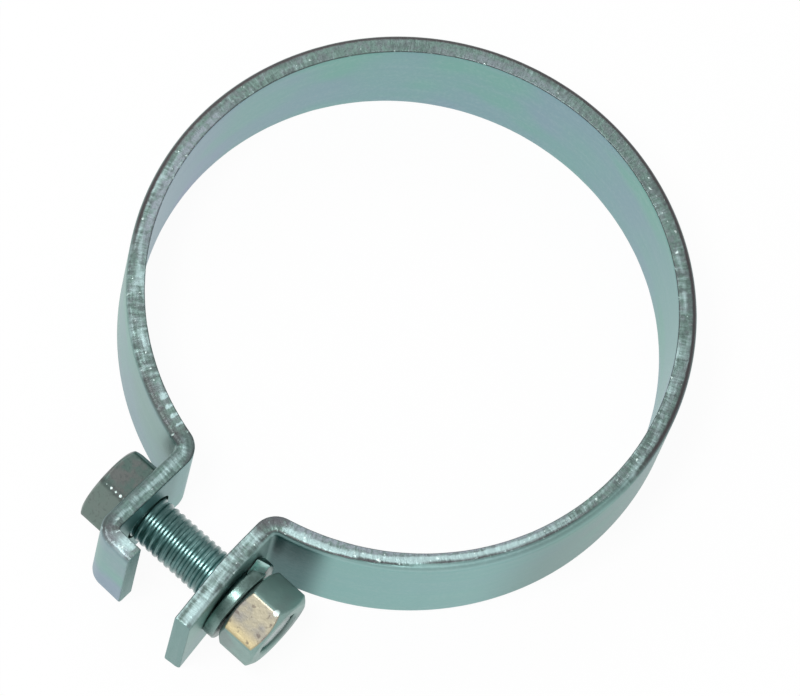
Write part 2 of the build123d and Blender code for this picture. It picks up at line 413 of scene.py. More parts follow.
class StripMarks:
    """Where the strip is worn or tinted, and where highlights and shade are painted on it. A point is given
    by its distance along the strip, its depth out from the middle of the thickness and how squarely it faces
    up or down, from 0 to 1. Each method adds up or overlaps a few marks, of a strength from 0 to about 1,
    and a mark's distances are in millimetres along the strip from where one of its runs ends, and in
    millimetres of depth."""

    def __init__(self, runs, along, depth, upright):
        self.along, self.depth, self.upright = along, depth, upright
        ends = np.cumsum([run for run, _ in runs])
        self.lip_end, self.head_ear_start, self.head_ear_end, self.ring_start = ends[:4]
        self.ring_end, self.nut_ear_start, self.nut_ear_end = ends[4], ends[5], ends[-1]

    def near(self, place, start, end, fade):
        """1 from start to end past a place along the strip, falling to 0 over the fade on each side."""
        return hump(self.along, place + start * MM, place + end * MM, fade * MM)

    def deeper(self, start, end):
        """0 at one depth and 1 at the other."""
        return ramp(self.depth, start * MM, end * MM)

    def line(self, middle, half):
        """1 in a line along the edge, this far to each side of its middle, with soft sides."""
        return spot(np.abs(self.depth - middle), half * MM, 1.8)

    def head_ear(self):
        """1 along the head's ear."""
        return hump(self.along, self.head_ear_start, self.ring_start - 0.5 * MM, 2.0 * MM)

    def bright_line(self):
        """Depth of the painted highlight line's middle at the ring's end: outside the strip's middle by the
        bend, and inside it further round the ring."""
        crossed = ramp(self.along, self.ring_end - 8.0 * MM, self.ring_end - 24.0 * MM)
        return 0.30 * MM - 0.70 * MM * crossed

    def wear_and_sheen(self):
        """Painted highlights with rubbed wear: bright over the whole edge or in a line or stripes on it."""
        first_stripe, stripe_spacing = self.ring_start + 2.3 * MM, 1.7 * MM
        stripes = np.clip(2.4 * np.cos(TURN * (self.along - first_stripe) / stripe_spacing) - 0.7, 0.0, 1.0)
        before_bend = ramp(self.along, self.ring_end + 0.5 * MM, self.ring_end - 0.5 * MM)
        # painted highlight on the lip's edge
        lip = 1.50 * self.near(0.0, 1.8, 4.8, 1.2)
        head_ear = 0.75 * self.head_ear() * self.line(-0.1 * MM, 0.4)
        ring_start = 1.50 * self.near(self.ring_start, 1.6, 7.8, 0.6) * stripes * self.deeper(0.3, -0.3)
        ring_left = 0.50 * self.near(self.ring_start, 14.0, 48.0, 8.0)
        # painted highlight: the bright line at the ring's end
        ring_end = 1.30 * self.near(self.ring_end, -34.0, 0.0, 28.0) * self.line(self.bright_line(), 0.42)
        ring_right = 0.40 * self.near(self.ring_end, -90.0, -60.0, 16.0)
        nut_ear = 0.62 * hump(self.along, self.nut_ear_start + 2.0 * MM, self.nut_ear_end, 3.0 * MM)
        return lip + head_ear + ring_start + ring_left + ring_end * before_bend + ring_right + nut_ear

    def shoulder(self):
        """Painted shade: dark on the rolled outer corner, and a little further in where the band shows its
        widest.
        """
        widest = self.near(self.ring_end, -106.0, -78.0, 15.0)
        return np.maximum(self.deeper(0.42, 0.92), 0.38 * widest * self.deeper(-0.25, 0.25))

    def shoulder_shade_reach(self):
        """1 where the shoulder's painted shade shows, on the ring's far side."""
        return hump(self.along, self.ring_start + 38.0 * MM, self.ring_end - 66.0 * MM, 9.0 * MM)

    def corner(self):
        """Brown, in lines along the inner corner and outside the bright line, round the bends of the lip and
        the ears, and outside the ring's start. The mark inside the head ear's bend is painted shade."""
        inner_line = np.where(self.depth > 0, 0.0, ramp(self.upright, 1.0, 0.7))
        outer_line = self.line(self.bright_line() + 0.66 * MM, 0.12)
        outer_line = outer_line * self.near(self.ring_end, -46.0, -1.0, 10.0)
        lip_bend = 0.75 * hump(self.along, self.lip_end, self.head_ear_start, 1.5 * MM)
        # painted shade inside the head ear's bend
        head_bend = 0.90 * hump(self.along, self.head_ear_end, self.ring_start + MM, MM)
        head_bend = head_bend * self.deeper(-0.6, -0.9)
        start_corner = 0.95 * self.near(self.ring_start, -0.8, 1.2, 0.8) * self.deeper(-0.6, 0.4)
        start_outside = 0.65 * self.near(self.ring_start, 0.5, 11.0, 2.0) * self.deeper(-0.15, 0.35)
        nut_bend = hump(self.along, self.ring_end + 0.3 * MM, self.nut_ear_start + 0.5 * MM, 1.5 * MM)
        nut_bend = 0.72 * nut_bend * self.deeper(0.28, -0.42)
        marks = (inner_line, outer_line, lip_bend, head_bend, start_corner, start_outside, nut_bend)
        return np.maximum.reduce(np.broadcast_arrays(*marks))

    def rolled_over(self):
        """1 where the outer face rolls over into the edge, outside the brown line at the ring's end."""
        outside_line = ramp(self.depth - self.bright_line(), 0.76 * MM, 0.91 * MM)
        return outside_line * self.near(self.ring_end, -52.0, 0.0, 10.0)

    def rim(self):
        """1 on the sheared edges, and 0 on the faces and where they roll over."""
        return ramp(self.upright, 0.25, 0.75) * (1 - self.rolled_over())

    def plain(self):
        """1 on the rolled-over part of the edge, which keeps the face's colour with painted light over it."""
        return self.rolled_over() * ramp(self.upright, 0.0, 0.35)

    def shaded(self):
        """Painted shade: dark outside by the nut ear's bend, fainter on the ring's right and inside the
        head's ear.
        """
        nut_bend = self.near(self.ring_end, -4.5, -0.3, 5.0)
        ring_right = 0.36 * self.near(self.ring_end, -78.0, -44.0, 15.0)
        head_ear = 0.30 * hump(self.along, self.head_ear_start, self.head_ear_end - 3.0 * MM, 2.0 * MM)
        return np.where(self.depth > 0, nut_bend + ring_right, head_ear)

    def greener_patch(self):
        """A greener teal outside, on the ring by the nut's ear."""
        return np.where(self.depth > 0, self.near(self.ring_end, -32.0, -8.0, 14.0), 0.0)

    def lilac(self):
        """Lilac outside on the lip, inside the ring on its left and at its top, and on the inner side of the
        edge at the ring's end."""
        left = self.near(self.ring_start, 38.0, 56.0, 10.0)
        top = 0.6 * self.near(self.ring_start, 108.0, 116.0, 12.0)
        inside_line = ramp(self.depth - self.bright_line(), -0.50 * MM, -0.70 * MM)
        ring_end = inside_line * self.deeper(-1.45, -1.35) * self.near(self.ring_end, -42.0, -3.0, 8.0)
        lip = 0.6 * hump(self.along, 0.0, self.lip_end, 3.0 * MM)
        return np.where(self.depth > 0, lip, left + top + ring_end)


def hexagon_side(sizes, flats_turn, on_flat, on_corner):
    """Angles round a hexagon with rounded corners, closer together over the corners, and its distance
    from the axis at each: the flat's distance over the cosine of the angle from its middle and, past the
    angle where they touch, the far side of the corner's circle."""
    flat, rounding = sizes.flat_radius, sizes.corner_rounding
    centre = (flat - rounding) / np.cos(SIXTH / 2)
    touch = np.arctan((flat - rounding) * np.tan(SIXTH / 2) / flat)
    from_middle = np.linspace(-touch, touch, on_flat)
    from_corner = np.linspace(touch - SIXTH / 2, SIXTH / 2 - touch, on_corner + 2)[1:-1]
    arc = centre * np.cos(from_corner) + np.sqrt(rounding**2 - (centre * np.sin(from_corner)) ** 2)
    one = np.concatenate([from_middle, from_corner + SIXTH / 2])
    turn = (np.arange(6)[:, None] * SIXTH + one).reshape(1, -1) + flats_turn
    return turn, np.tile(np.concatenate([flat / np.cos(from_middle), arc]), 6)[None]


def thread_share(x, turn, pitch):
    """Share of the thread's depth, 0 on the crest and 1 in the root, on a right-hand helix: the place
    along the axis in pitches, less the share of a turn, gives a triangle wave, which is cut flat at both
    ends and eased by a cosine."""
    phase = (x / pitch - turn / TURN) % 1.0
    wave = ramp(np.abs(2 * phase - 1), 0.28, 0.74)
    return (1 - np.cos(np.pi * wave)) / 2


def round_bolt(x, radius, turn, axis_y):
    """Points at the given distances from the bolt's axis: +Y turned towards +Z by each column's angle."""
    x, radius, turn = np.broadcast_arrays(x, radius, turn)
    return np.stack([x, axis_y + radius * np.cos(turn), radius * np.sin(turn)], -1)


def stack_bands(bands, turn):
    """One grid of distances along the bolt and one of distances from its axis, from bands of rows, each
    given as (distances along, distances from the axis)."""
    grids = [np.broadcast_arrays(x, radius, turn)[:2] for x, radius in bands]
    return [np.concatenate(parts) for parts in zip(*grids)]


def head_bands(sizes, top, hexagon):
    """Bands of the bolt's head, from the middle of its top face over the cone, the flats, their lower edge,
    the underside and the bearing step to the shank."""
    seat = top + sizes.head_height
    underside = seat - BEARING_STEP
    face_radius = sizes.flat_radius * sizes.face_share
    cone_x = np.linspace(0.0, HEAD_CONE_HEIGHT, 26)[1:, None]
    cone = smaller(face_radius + cone_x / np.tan(sizes.cone_slope), hexagon, CONE_BLEND)
    past_cone, above_seat = 1.75 * MM, 0.42 * MM
    flats_x = np.linspace(past_cone, sizes.head_height - above_seat, 36)[:, None]
    edge_inset = LOWER_EDGE[-1, 1]
    inwards = np.linspace(0.12, 1.0, 6)[1:, None]
    return [
        (top, np.linspace(0.02, 1.0, 9)[:, None] * face_radius),
        (top + cone_x, cone),
        (top + flats_x, hexagon),
        (underside - LOWER_EDGE[:, :1], hexagon - LOWER_EDGE[:, 1:]),
        (underside, (hexagon - edge_inset) * (1 - inwards) + face_radius * inwards),
        (underside + STEP_EDGE[:, :1], face_radius - STEP_EDGE[:, 1:]),
        (seat, np.linspace(face_radius - BEARING_STEP, sizes.thread_radius, 5)[:, None]),
    ]


def shank_bands(sizes, seat, end, turn):
    """Bands of the threaded shank: a helix that grows to its depth over the runout, cut off by the chamfer
    at 45 degrees, and the end face."""
    past_seat, blend, inside_chamfer = 0.05 * MM, 0.15 * MM, 0.1 * MM
    x = np.arange(seat + past_seat, end, sizes.thread_pitch / ROWS_PER_PITCH)[:, None]
    depth = sizes.thread_depth * thread_share(x, turn, sizes.thread_pitch)
    thread = sizes.thread_radius - depth * ramp(x, seat, seat + THREAD_RUNOUT)
    chamfer = sizes.thread_radius - TIP_CHAMFER + (end - x)
    tip_radius = sizes.thread_radius - TIP_CHAMFER - inside_chamfer
    return [(x, smaller(thread, chamfer, blend)), (end, np.linspace(1.0, 0.02, 6)[:, None] * tip_radius)]


def painted_bead_highlights(x, top, head_height, from_corner):
    """Painted highlights: bright beads in a row down one corner of the head, as discs about the middles of
    equal steps, whose radius grows along the head by a power and differs from bead to bead by a sine."""
    along_head = (x - top) / head_height
    step = (x - top) / BEAD_SPACING
    from_bead = (step % 1.0 - 0.5) * BEAD_SPACING
    radius = (0.06 + 0.24 * along_head**1.5 + 0.05 * np.sin(4.0 * np.floor(step))) * MM
    beads = spot(from_corner**2 + from_bead**2, radius**2, 1.4)
    return beads * (along_head > BEADS_START) * (along_head < BEADS_END)


class Link:
    """A socket in a material, with arithmetic: each operator adds a Math node and returns its result."""

    def __init__(self, nodes, socket):
        self.nodes = nodes
        self.socket = socket

    def math(self, operation, *values):
        return self.nodes.node("ShaderNodeMath", {"operation": operation}, *values)

    def __add__(self, other):
        return self.math("ADD", self, other)

    def __sub__(self, other):
        return self.math("SUBTRACT", self, other)

    def __rsub__(self, other):
        return self.math("SUBTRACT", other, self)

    def __mul__(self, other):
        return self.math("MULTIPLY", self, other)

    __radd__ = __add__
    __rmul__ = __mul__

    def larger(self, other):
        """The larger of two values."""
        return self.math("MAXIMUM", self, other)

    def between(self, low, high):
        """0 below low, 1 above high and a smooth step between them; turned round if low is above high."""
        return self.nodes.node(
            "ShaderNodeMapRange", {"interpolation_type": "SMOOTHSTEP"}, self, low, high, 0.0, 1.0
        )


class NodeBuilder:
    """A node tree that is built up node by node."""

    def __init__(self, tree):
        self.tree = tree

    def node(self, kind, settings, *values, output=0, **named):
        """A node of this kind: its settings come first, then its sockets, by order or by name."""
        made = self.tree.nodes.new(kind)
        for setting, value in settings.items():
            setattr(made, setting, value)
        free = [socket for socket in made.inputs if socket.enabled]
        by_name = [(made.inputs[key], value) for key, value in named.items()]
        for socket, value in [*zip(free, values), *by_name]:
            self.feed(socket, value)
        return Link(self, made.outputs[output])

    def feed(self, socket, value):
        """Links a result to a socket, or sets the socket's own value."""
        if isinstance(value, Link):
            self.tree.links.new(value.socket, socket)
        elif socket.type == "RGBA":
            socket.default_value = (*value, 1.0)
        else:
            socket.default_value = value

    def place(self):
        """Position on the piece, in metres."""
        return self.node("ShaderNodeTexCoord", {}, output="Object")

    def field(self, name):
        """A value stored on the piece's points."""
        return self.node("ShaderNodeAttribute", {"attribute_name": name}, output="Fac")

    def vector(self, x, y, z):
        """Three values as one vector."""
        return self.node("ShaderNodeCombineXYZ", {}, x, y, z)

    def noise(self, place, scale=1.0, detail=2.0, roughness=0.5):
        """Cloudy noise, with this many clouds to the metre."""
        return self.node(
            "ShaderNodeTexNoise", {}, Vector=place, Scale=scale, Detail=detail, Roughness=roughness
        )

    def mix(self, share, first, second):
        """The first colour at share 0, the second at share 1. A Mix node's third result is its colour."""
        return self.node("ShaderNodeMix", {"data_type": "RGBA"}, share, first, second, output=2)

    def layers(self, colour, *over):
        """A colour under layers, each given as (share, colour) and laid over those before it."""
        for share, layer in over:
            colour = self.mix(share, colour, layer)
        return colour

    def bump(self, height, distance, strength, **under):
        """A normal tilted by the slope of a height, over any normal already made."""
        return self.node("ShaderNodeBump", {}, Height=height, Distance=distance, Strength=strength, **under)


class Finish(NodeBuilder):
    """A material with one Principled shader."""

    def __init__(self, name, metallic):
        self.material = bpy.data.materials.new(name)
        self.material.use_nodes = True
        super().__init__(self.material.node_tree)
        self.tree.nodes.clear()
        self.output = self.tree.nodes.new("ShaderNodeOutputMaterial")
        self.shader = self.tree.nodes.new("ShaderNodeBsdfPrincipled")
        self.tree.links.new(self.shader.outputs[0], self.output.inputs[0])
        self.set(Metallic=metallic)

    def set(self, **inputs):
        """Feeds the shader's sockets, named with underscores for spaces."""
        for name, value in inputs.items():
            self.feed(self.shader.inputs[name.replace("_", " ")], value)


def strip_face(finish, colours, grain, rolling):
    """Colour of the strip's faces: teal, with lilac and green clouds drawn out along the strip, fine grain,
    a greener patch, painted shade, and painted light where the faces roll over into the edge."""
    along, across, depth = [finish.field(name) for name in ("along", "across", "depth")]
    cloud_place = finish.vector(along * 34.0, across * 60.0, depth * 60.0)
    green_place = finish.node("ShaderNodeVectorMath", {"operation": "ADD"}, cloud_place, (7.3, 2.9, 0.0))
    lilac = finish.noise(cloud_place).between(0.46, 0.66)
    green = finish.noise(green_place, scale=1.3).between(0.50, 0.72)
    return finish.layers(
        colours.strip,
        (depth.between(-0.5 * MM, 0.5 * MM), colours.strip_outside),
        (lilac * 0.40 + finish.field("lilac") * 0.55, colours.strip_lilac),
        (green * 0.65, colours.strip_green),
        (finish.field("greener_patch") * 0.8, colours.strip_greener),
        ((grain - 0.5) * 0.5 + (rolling - 0.5) * 0.2 + 0.03, colours.strip_grain),
        # painted shade by the nut ear's bend, on the ring's right and inside the head ear
        (finish.field("shaded"), colours.strip_shade),
        # painted light where the faces roll over into the edge
        (finish.field("plain") * 0.35, colours.strip_rolled),
    )


def strip_edge(finish, colours):
    """Colour and relief of the strip's sheared edges: grey-green, with bands along them, fine scratches
    across them, bright specks, painted highlights with rubbed wear, painted shade on shoulders, dark lines
    and corners."""
    place, along, depth = finish.place(), finish.field("along"), finish.field("depth")
    wear_and_sheen, corner = finish.field("wear_and_sheen"), finish.field("corner")

    def drawn_out(along_scale, depth_scale, layer, detail, roughness=0.5):
        """Noise drawn out along the strip or across its thickness, a different one in each layer."""
        stretched = finish.vector(along * along_scale, depth * depth_scale, layer)
        return finish.noise(stretched, 1.0, detail, roughness)

    scratches = drawn_out(1500.0, 300.0, layer=0.0, detail=3.0, roughness=0.6)
    bands = drawn_out(160.0, 900.0, layer=5.0, detail=2.0)
    crumbs = drawn_out(1100.0, 1100.0, layer=9.0, detail=2.0)
    tints = finish.noise(place, scale=850.0, detail=3.0, roughness=0.6)
    flecks = finish.noise(place, scale=2200.0, roughness=0.6)
    patches = finish.noise(place, scale=90.0, detail=1.0)
    streaky = (patches + wear_and_sheen * 0.5).between(0.40, 0.70) * 0.75 + 0.25

    dark_streaks = (scratches + (bands - 0.5) * 0.6).between(0.55, 0.35) * streaky
    light_streaks = scratches.between(0.54, 0.74) * streaky
    # painted highlights together with rubbed wear
    bright = wear_and_sheen + (bands - 0.5) * 2.0 + (scratches - 0.5) * 1.2 + (patches - 0.5) * 0.8
    specks = crumbs + wear_and_sheen * 0.045 + corner.between(0.7, 1.0) * 0.06
    lilac = finish.field("lilac") * (0.85 - crumbs.between(0.45, 0.6) * 0.6)
    dark = finish.field("shoulder") + (patches - 0.5) * 0.4 + (scratches - 0.5) * 0.5 + (crumbs - 0.5) * 0.5
    brown = corner * (1.0 - crumbs.between(0.58, 0.66) * 0.8)
    edge = finish.layers(
        colours.rim_green,
        (tints.between(0.40, 0.62), colours.rim_grey),
        (flecks.between(0.55, 0.35) * 0.35, colours.rim),
        (dark_streaks * 0.5, colours.rim),
        (light_streaks * 0.6, colours.rim_scratch),
        (bright.between(0.25, 1.10), colours.rim_bright),
        (specks.between(0.68, 0.76) * 0.9, colours.speck_and_glint),
        (lilac, colours.rim_lilac),
        # painted shade on the shoulders
        (dark.between(0.20, 0.95) * finish.field("shoulder_shade_reach"), colours.shoulder),
        (brown * 0.85, colours.rim_corner),
        (finish.field("dim") * (0.55 - scratches * 0.4), colours.rim_dim),
        (finish.field("end"), finish.mix(bands, colours.end_dark, colours.end_light)),
    )
    return edge, scratches * 0.6 + crumbs * 0.5 + bands * 0.6


def rolled_zinc(colours):
    """Zinc plating on rolled strip: teal faces with fine grain and rolling lines along them, and rougher
    sheared edges and ends."""
    finish = Finish("rolled_zinc", metallic=0.78)
    rim = finish.field("rim")
    grain = finish.noise(finish.place(), scale=1500.0, roughness=0.6)
    rolling = finish.noise(finish.vector(finish.field("along") * 70.0, finish.field("across") * 800.0, 0.0))
    edge, relief = strip_edge(finish, colours)
    rolled = finish.bump(rolling, 0.04 * MM, 0.3)
    finish.set(
        Base_Color=finish.mix(rim, strip_face(finish, colours, grain, rolling), edge),
        Roughness=0.33 + grain * 0.14 + rim * 0.08 + finish.field("end") * 0.10,
        Normal=finish.bump(relief * rim + grain * 0.10, 0.22 * MM, 0.8, Normal=rolled),
    )
    return finish.material


def bolt_zinc(colours):
    """Zinc plating on the bolt: a deep teal, glossier shank, and a grey-green head with a purplish tint, one
    flat painted paler as painted light, and painted highlights in beads on a darker, rougher corner."""
    finish = Finish("bolt_zinc", metallic=0.82)
    on_head, dark_corner = finish.field("head"), finish.field("dark_corner")
    mottle = finish.noise(finish.place(), scale=330.0, detail=3.0, roughness=0.6)
    grain = finish.noise(finish.place(), scale=1900.0, roughness=0.6)
    head = finish.layers(
        colours.head,
        (mottle.between(0.40, 0.60), colours.head_tint),
        # one flat painted paler, as painted light
        (finish.field("pale"), finish.mix(mottle, colours.head_pale, colours.head_pale_tint)),
        (grain.between(0.55, 0.70) * 0.35 + dark_corner * 0.5, colours.head_dark),
        # painted highlights: the beads down the head's corner
        (finish.field("edge"), colours.speck_and_glint),
    )
    shank = finish.mix(mottle.between(0.38, 0.68) * 0.6, colours.thread, colours.thread_light)
    finish.set(
        Base_Color=finish.mix(on_head, shank, head),
        Roughness=0.26 + grain * 0.2 + dark_corner * on_head * 0.3,
        Coat_Weight=1.0 - on_head,
        Coat_Roughness=0.26,
        Normal=finish.bump(grain * 0.4 + mottle * 0.6, 0.09 * MM, 0.5),
    )
    return finish.material


def washer_zinc(colours):
    """Zinc plating on the spring washer: dark drawn wire, bright where it was cut through, with a painted
    highlight on the cut.
    """
    finish = Finish("washer_zinc", metallic=0.82)
    mottle = finish.noise(finish.place(), scale=480.0, detail=3.0, roughness=0.6)
    grain = finish.noise(finish.place(), scale=1900.0, roughness=0.6)
    wire = finish.mix(mottle.between(0.38, 0.68) * 0.6, colours.washer, colours.washer_light)
    finish.set(
        # the cut ends: bright cut metal with a painted highlight
        Base_Color=finish.mix(finish.field("cut"), wire, colours.washer_cut_and_highlight),
        Roughness=0.22 + grain * 0.16,
        Normal=finish.bump(grain * 0.4 + mottle * 0.6, 0.08 * MM, 0.5),
    )
    return finish.material


def nut_zinc(colours):
    """Zinc plating on the nut: golden with brown spots over one flat, greener on the others."""
    finish = Finish("nut_zinc", metallic=0.75)
    place = finish.place()
    mottle = finish.noise(place, scale=420.0, detail=3.0, roughness=0.6)
    cloud = finish.noise(place, scale=170.0, detail=1.0)
    grain = finish.noise(place, scale=2100.0, roughness=0.6)
    spots = finish.noise(place, scale=900.0).between(0.60, 0.70)
    greyed = (cloud + (mottle - 0.5) * 0.7).between(0.35, 0.65)
    golden = finish.layers(
        colours.gold,
        (greyed, colours.gold_grey),
        (finish.field("low_corner").between(0.6, 0.95) * 0.8, colours.gold_deep),
        (spots * 0.7, colours.gold_spot),
    )
    tone = finish.layers(
        colours.nut,
        (mottle.between(0.4, 0.7) * 0.35, colours.nut_light),
        (cloud.between(0.45, 0.65) * 0.5, colours.nut_cloud),
        (finish.field("gold"), golden),
        # painted highlight: the glint on one corner
        (finish.field("glint"), colours.speck_and_glint),
    )
    finish.set(
        Base_Color=tone,
        Roughness=0.34 + grain * 0.18,
        Normal=finish.bump(grain * 0.5 + mottle * 0.5, 0.08 * MM, 0.6),
    )
    return finish.material


def seat_on(piece, body, node, material):
    """Gives a piece its finish, the body that it rides on and the CAD node that it stands for."""
    piece.data.materials.append(material)
    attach(piece, body)
    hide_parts(node)


class CLAMP_OT_band(bpy.types.Operator):
    """Build the bent strip with its two ears, its lip and the bolt's holes"""

    bl_idname = "clamp.band"
    bl_label = "Clamp Band"

    def execute(self, context):
        sizes = context.scene.clamp_sizes
        runs, start, heading = strip_path(sizes)
        points, headings, along = carry(runs, start, heading, step=0.55 * MM, arc_step=np.radians(3.0))
        section, normals = rounded_section(
            sizes.strip_width, sizes.strip_thickness, sizes.outer_rounding, sizes.inner_rounding,
            corner_steps=9, face_steps=24,
        )
        clear_of_ends = 1.5 * sizes.end_rounding
        inner_rows = np.flatnonzero((along > clear_of_ends) & (along < along[-1] - clear_of_ends))
        rows, shrink, push = end_rows(inner_rows, len(along) - 1, sizes.end_rounding, 5, INSIDE_CAD)
        along, turned = along[rows], headings[rows]
        forwards = np.stack([np.cos(turned), np.sin(turned)], 1)
        outwards = np.stack([-np.sin(turned), np.cos(turned)], 1)
        middle = points[rows] + forwards * push[:, None]

        drawn_in = shrink[:, None] + self.edge_dents(along, section[:, 0], sizes.strip_width / 2) + INSIDE_CAD
        offset = section[None] - normals[None] * drawn_in[..., None]
        grid = np.empty((len(rows), len(section), 3))
        grid[..., :2] = middle[:, None] + outwards[:, None] * offset[..., 1:]
        grid[..., 2] = offset[..., 0]

        end = np.clip(shrink / sizes.end_rounding * 3, 0.0, 1.0)[:, None]
        marks = StripMarks(runs, along[:, None], section[None, :, 1], np.abs(normals[None, :, 0]))
        values = {
            "along": along[:, None],
            "across": section[None, :, 0],
            "depth": section[None, :, 1],
            "end": end,
            "rim": np.maximum(marks.rim(), end),
            "shoulder": marks.shoulder() * (1 - end),
            "corner": marks.corner() * (1 - end),
            "wear_and_sheen": marks.wear_and_sheen(),
            "shaded": marks.shaded(),
            "lilac": marks.lilac(),
            "greener_patch": marks.greener_patch(),
            "shoulder_shade_reach": marks.shoulder_shade_reach(),
            "dim": marks.head_ear(),
            "plain": marks.plain(),
        }
        band = closed_mesh("bent_strip", grid, values)
        self.cut_holes(context, band, sizes)
        seat_on(band, "band", "clamp_band", rolled_zinc(context.scene.clamp_colours))
        return {"FINISHED"}

    def edge_dents(self, along, across, half_width):
        """Depth of the dents in the sheared edges: the mean of a broad and a fine noise along the strip, at
        its full depth on the edge itself."""
        wave = (smooth_noise(along, **BROAD_DENTS) + smooth_noise(along, **FINE_DENTS)) / 2
        return DENT_DEPTH * ramp(np.abs(across) / half_width, DENTED_FROM, 1.0) * (1 - wave[:, None]) / 2

    def cut_holes(self, context, band, sizes):
        """Cuts a round bar along the bolt's axis out of both ears."""
        turn = np.linspace(0.0, TURN, 96, endpoint=False)
        reach = 0.3 * sizes.pipe_radius
        bar_ends = np.array([[-reach], [reach]])
        sides = round_bolt(bar_ends, sizes.hole_radius, turn, -sizes.bolt_distance)
        bar = closed_mesh("hole_bar", sides)
        cut = band.modifiers.new("bolt holes", "BOOLEAN")
        cut.operation = "DIFFERENCE"
        cut.solver = "EXACT"
        cut.object = bar
        context.view_layer.update()
        pierced = bpy.data.meshes.new_from_object(band.evaluated_get(context.evaluated_depsgraph_get()))
        band.modifiers.remove(cut)
        band.data = pierced
        pierced.set_sharp_from_angle(angle=np.radians(35.0))
        bpy.data.objects.remove(bar)


class CLAMP_OT_bolt(bpy.types.Operator):
    """Build the bolt with its coned hexagon head and its helical thread"""

    bl_idname = "clamp.bolt"
    bl_label = "Bolt"

    def execute(self, context):
        sizes = context.scene.fastener_sizes
        top, end = BOLT_LOW.x, BOLT_HIGH.x
        flats_turn = sizes.head_turn + SIXTH / 2
        turn, hexagon = hexagon_side(sizes, flats_turn, on_flat=20, on_corner=12)
        on_head = head_bands(sizes, top, hexagon)
        on_shank = shank_bands(sizes, top + sizes.head_height, end, turn)
        x, radius = stack_bands(on_head + on_shank, turn)
        head_rows = len(stack_bands(on_head, turn)[0])

        past_corner = turn - flats_turn - SIXTH / 2
        from_corner = np.abs(signed_turn(past_corner)) * sizes.flat_radius
        values = {
            "head": (np.arange(len(x)) < head_rows)[:, None] * 1.0,
            # painted highlights: bright beads down one corner
            "edge": painted_bead_highlights(x, top, sizes.head_height, from_corner),
            # darker and rougher along one corner, between the beads
            "dark_corner": spot(from_corner, 0.55 * MM, 1.3),
            # one flat painted paler, as painted light
            "pale": ramp(past_corner % TURN, 0.0, 0.1) * (past_corner % TURN < SIXTH),
        }
        axis_y = -context.scene.clamp_sizes.bolt_distance
        bolt = closed_mesh("hex_bolt", round_bolt(x, radius, turn, axis_y), values, sharp=50.0)
        seat_on(bolt, "bolt", "bolt", bolt_zinc(context.scene.clamp_colours))
        return {"FINISHED"}


class CLAMP_OT_washer(bpy.types.Operator):
    """Build the split spring washer, one sprung turn of rounded wire"""

    bl_idname = "clamp.washer"
    bl_label = "Spring Washer"

    def execute(self, context):
        sizes = context.scene.fastener_sizes
        section, normals = rounded_section(
            sizes.washer_width, sizes.washer_thickness, WIRE_ROUNDING, WIRE_ROUNDING,
            corner_steps=6, face_steps=12,
        )
        rows, shrink, push = end_rows(np.arange(1, WASHER_ROWS - 1), WASHER_ROWS - 1, CUT_ROUNDING, 4)
        share = np.linspace(0.0, 1.0, WASHER_ROWS)[rows, None]
        radial = section[None, :, 0] - normals[None, :, 0] * shrink[:, None]
        axial = section[None, :, 1] - normals[None, :, 1] * shrink[:, None]

        middle = sizes.washer_inner + sizes.washer_width / 2
        rise = WASHER_HIGH.x - WASHER_LOW.x - sizes.washer_thickness
        gap = sizes.split_width / middle
        slant = np.tan(sizes.split_slant) * axial / middle
        travelled = gap / 2 + (TURN - gap) * share + push[:, None] / middle + slant
        x = WASHER_LOW.x + sizes.washer_thickness / 2 + rise * travelled / TURN + axial
        turn = sizes.split_angle - travelled
        grid = round_bolt(x, middle + radial, turn, -context.scene.clamp_sizes.bolt_distance)
        # cut ends, which carry a painted highlight
        values = {"cut": ((share == 0.0) | (share == 1.0)) * 1.0}
        washer = closed_mesh("split_washer", grid, values, sharp=50.0)
        seat_on(washer, "band", "spring_washer", washer_zinc(context.scene.clamp_colours))
        return {"FINISHED"}


